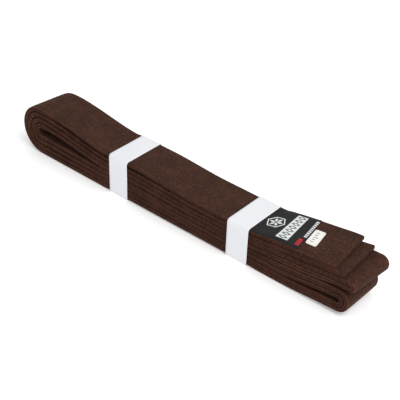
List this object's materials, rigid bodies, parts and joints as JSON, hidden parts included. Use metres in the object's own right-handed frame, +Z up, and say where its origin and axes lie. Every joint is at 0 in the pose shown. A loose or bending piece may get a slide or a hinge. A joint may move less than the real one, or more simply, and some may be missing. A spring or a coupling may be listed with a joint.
{
  "type": "martial arts belt",
  "caption": "Flat cotton martial arts belt, folded into a long bundle and held by two paper bands, with a woven label and a size patch on its upper tip.",
  "frame": {"origin": "middle of the folded bundle's footprint, on the surface that it lies on", "axes": "+X along the bundle, from the rounded folds to the free tips; +Y across the belt, towards the side where the bands are glued; +Z up, away from the surface"},
  "size_m": [0.344, 0.0416, 0.0452],
  "materials": {
    "cover": "brown cotton twill",
    "core": "raw cotton ply",
    "belt_thread": "brown sewing thread",
    "label_ground": "black damask weave",
    "label_weft": "white woven figure",
    "label_red": "red woven block",
    "label_thread": "black sewing thread",
    "patch_ground": "off-white woven tape",
    "patch_mark": "grey woven ticks",
    "patch_thread": "off-white sewing thread",
    "band_paper": "smooth white banding paper",
    "band_glue": "dried paper glue"
  },
  "bodies": {
    "folded_belt": {"face_cover": "cover", "back_cover": "cover", "face_core": "core", "back_core": "core", "face_stitching": "belt_thread", "back_stitching": "belt_thread", "lower_tip_stitching": "belt_thread"},
    "upper_tip": {"tip_face_cover": "cover", "tip_back_cover": "cover", "tip_face_core": "core", "tip_back_core": "core", "tip_face_stitching": "belt_thread", "tip_back_stitching": "belt_thread", "upper_tip_stitching": "belt_thread", "label": "label_ground", "label_star": "label_weft", "label_panel": "label_weft", "label_line": "label_weft", "label_block": "label_red", "label_stitching": "label_thread", "size_patch": "patch_ground", "size_patch_marks": "patch_mark", "size_patch_stitching": "patch_thread"},
    "left_paper_band": {"left_band": "band_paper", "left_band_glue": "band_glue"},
    "right_paper_band": {"right_band": "band_paper", "right_band_glue": "band_glue"}
  },
  "joints": [
    {"name": "upper_tip_lift", "type": "hinge", "parent": "folded_belt", "child": "upper_tip", "pos_m": [0.0785, 0, 0.0335], "axis": [0, -1, 0], "range_deg": [0, 45]},
    {"name": "left_band_slide", "type": "slide", "parent": "folded_belt", "child": "left_paper_band", "axis": [1, 0, 0], "range_m": [0, 0.045]},
    {"name": "right_band_slide", "type": "slide", "parent": "folded_belt", "child": "right_paper_band", "axis": [1, 0, 0], "range_m": [-0.03, 0]}
  ]
}
